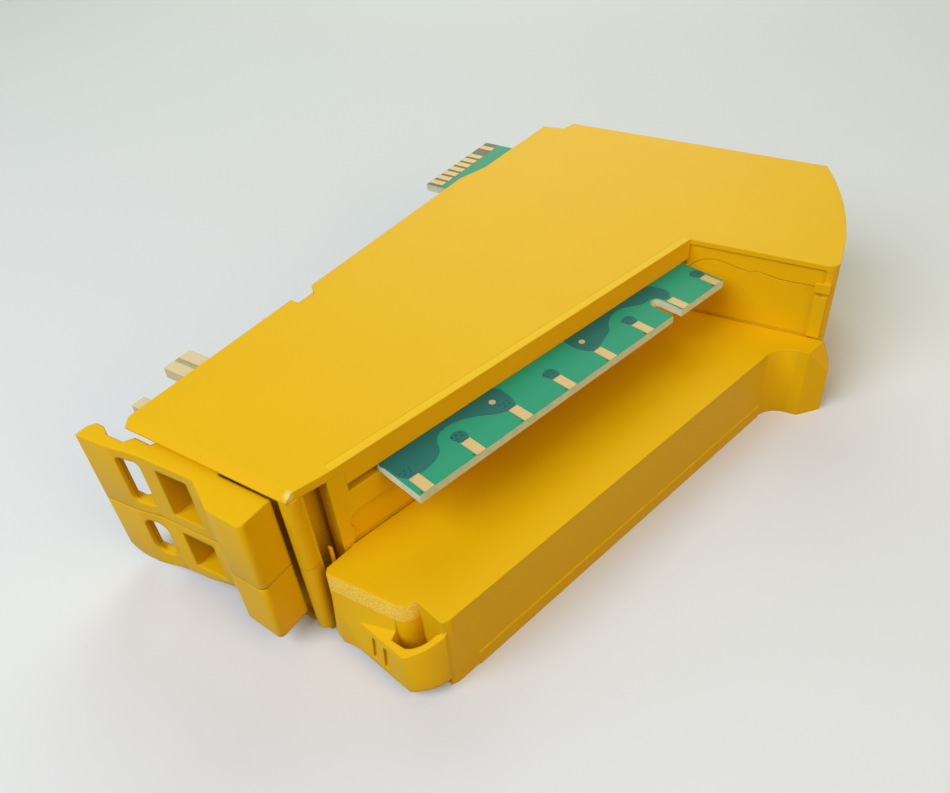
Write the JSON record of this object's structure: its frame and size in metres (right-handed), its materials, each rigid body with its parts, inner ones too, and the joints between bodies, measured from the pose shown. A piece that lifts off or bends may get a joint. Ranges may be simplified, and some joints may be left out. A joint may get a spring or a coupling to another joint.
{
  "type": "safety io module",
  "caption": "Double-width slice-type safety input/output electronics module with release levers, edge-contact board and a dummy terminal block.",
  "frame": {"origin": "centre of the footprint, on the surface that the lower side plate lies on", "axes": "+X from the lever end to the head, +Y towards the bus side, +Z through the thickness of both slices"},
  "size_m": [0.1084, 0.0756, 0.025],
  "materials": {
    "housing": "fine moulded grain",
    "lever": "fine moulded grain",
    "steel": "drawn",
    "board": "solder mask",
    "gold": "plated",
    "plug": "moulded",
    "contact": "plated",
    "black_plastic": "moulded",
    "aluminium": "drawn",
    "ferrite": "sintered",
    "relay_plastic": "moulded",
    "lens": "clear"
  },
  "bodies": {
    "case": {"cover": "housing", "upper_case": "housing", "lower_case": "housing", "terminal_blank": "housing", "lever_pin": "steel", "main_board": "board", "lower_board": "board", "io_contact_pads": "gold", "test_pads": "gold", "bus_fingers": "gold", "bus_plug_large": "plug", "bus_plug_small": "plug", "plug_blade": "contact", "header_socket": "black_plastic", "header_pins": "black_plastic", "safety_controllers": "black_plastic", "bus_interface_chip": "black_plastic", "optocouplers": "black_plastic", "electrolytic_capacitors": "aluminium", "power_inductor": "ferrite", "safety_relays": "relay_plastic", "crystal": "steel", "status_leds": "lens"},
    "upper_lever": {"release_lever_upper": "lever"},
    "lower_lever": {"release_lever_lower": "lever"}
  },
  "joints": [
    {"name": "upper_lever_turn", "type": "hinge", "parent": "case", "child": "upper_lever", "pos_m": [-0.04802, 0.01682, 0.018], "axis": [0, 0, 1], "range_deg": [0, 5], "stiffness_Nm_per_rad": 0.05},
    {"name": "lower_lever_turn", "type": "hinge", "parent": "case", "child": "lower_lever", "pos_m": [-0.04802, 0.01682, 0.0077], "axis": [0, 0, 1], "range_deg": [0, 5], "stiffness_Nm_per_rad": 0.05}
  ]
}
